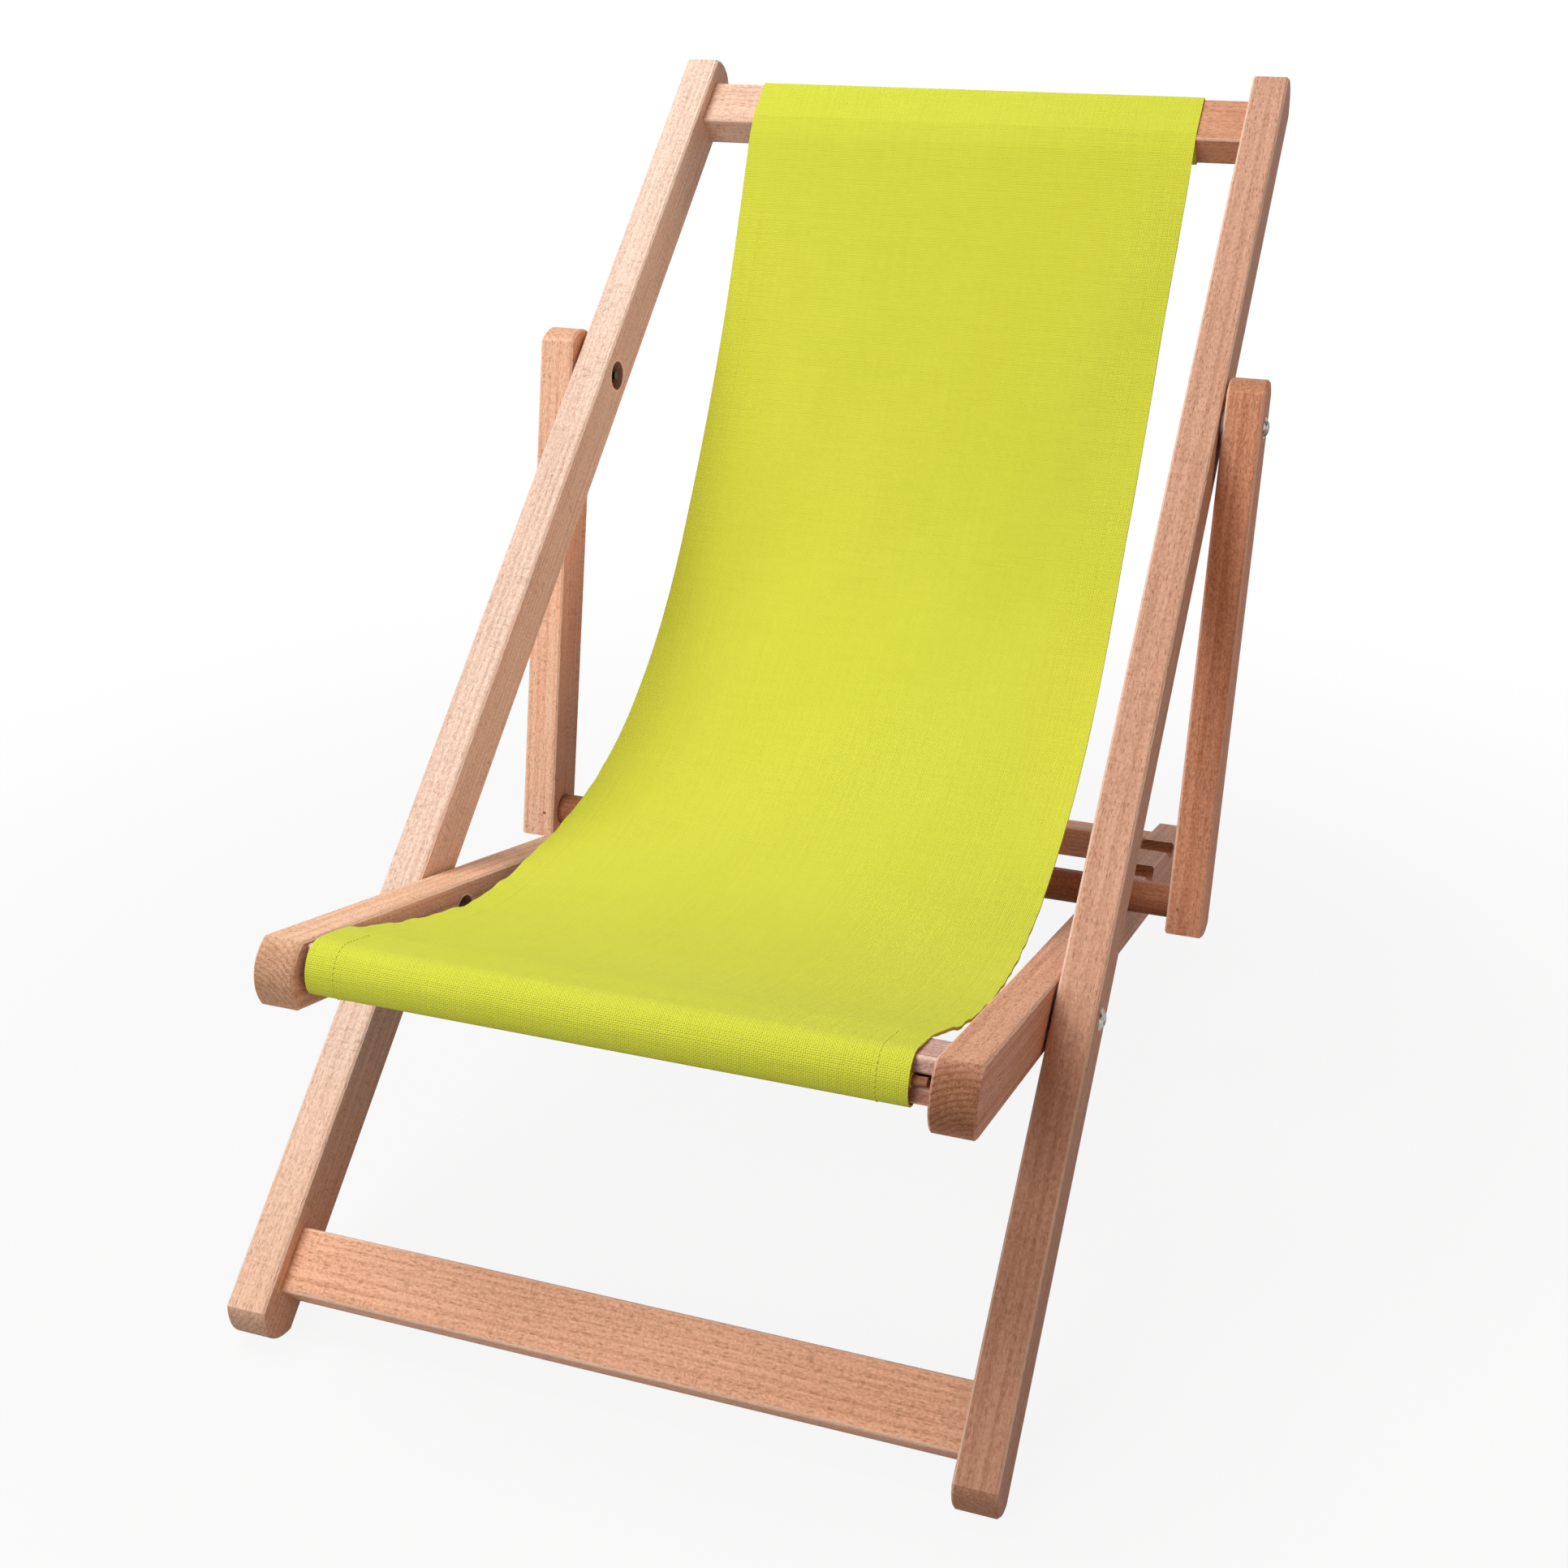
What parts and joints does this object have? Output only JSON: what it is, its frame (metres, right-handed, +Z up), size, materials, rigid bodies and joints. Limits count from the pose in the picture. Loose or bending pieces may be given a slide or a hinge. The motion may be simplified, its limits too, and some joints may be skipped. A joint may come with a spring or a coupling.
{
  "type": "folding deck chair",
  "caption": "Folding beech deck chair: a back frame and a seat frame crossed on bolts, a swinging prop frame whose dowel sits in notches, and a hanging canvas sling.",
  "frame": {"origin": "on the floor, under the middle of the chair's box", "axes": "+X to the right seen from the front, +Y to the rear, +Z up"},
  "size_m": [0.5852, 0.9052, 0.7305],
  "materials": {
    "beech": "fine sanded, oiled, eased arrises",
    "dark_rod": "turned rod, darkened",
    "zinc_steel": "zinc plated",
    "canvas": "plain woven cotton canvas, hemmed edges"
  },
  "bodies": {
    "seat_frame": {"seat_rail_left": "beech", "seat_rail_right": "beech", "front_slat_upper": "beech", "front_slat_lower": "beech", "rear_stretcher": "beech", "sling_rod": "dark_rod"},
    "back_frame": {"back_rail_left": "beech", "back_rail_right": "beech", "top_bar": "beech", "foot_bar": "beech", "seat_pivot_bolts": "zinc_steel", "seat_pivot_spacers": "zinc_steel", "seat_pivot_washers": "zinc_steel", "seat_pivot_nuts": "zinc_steel", "sling": "canvas"},
    "prop_frame": {"prop_rail_left": "beech", "prop_rail_right": "beech", "prop_dowel": "beech", "prop_dowel_nails": "zinc_steel", "prop_pivot_bolts": "zinc_steel", "prop_pivot_spacers": "zinc_steel", "prop_pivot_washers": "zinc_steel", "prop_pivot_nuts": "zinc_steel"}
  },
  "joints": [
    {"name": "back_fold", "type": "hinge", "parent": "seat_frame", "child": "back_frame", "pos_m": [0, -0.20133, 0.20825], "axis": [1, 0, 0], "range_deg": [0, 112], "deforming": ["sling"]},
    {"name": "prop_swing", "type": "hinge", "parent": "back_frame", "child": "prop_frame", "pos_m": [0, 0.16986, 0.50782], "axis": [-1, 0, 0], "range_deg": [0, 33]}
  ],
  "couplings": [
    {"joint": "prop_swing", "follows": "back_fold", "ratio": 0.29464}
  ]
}
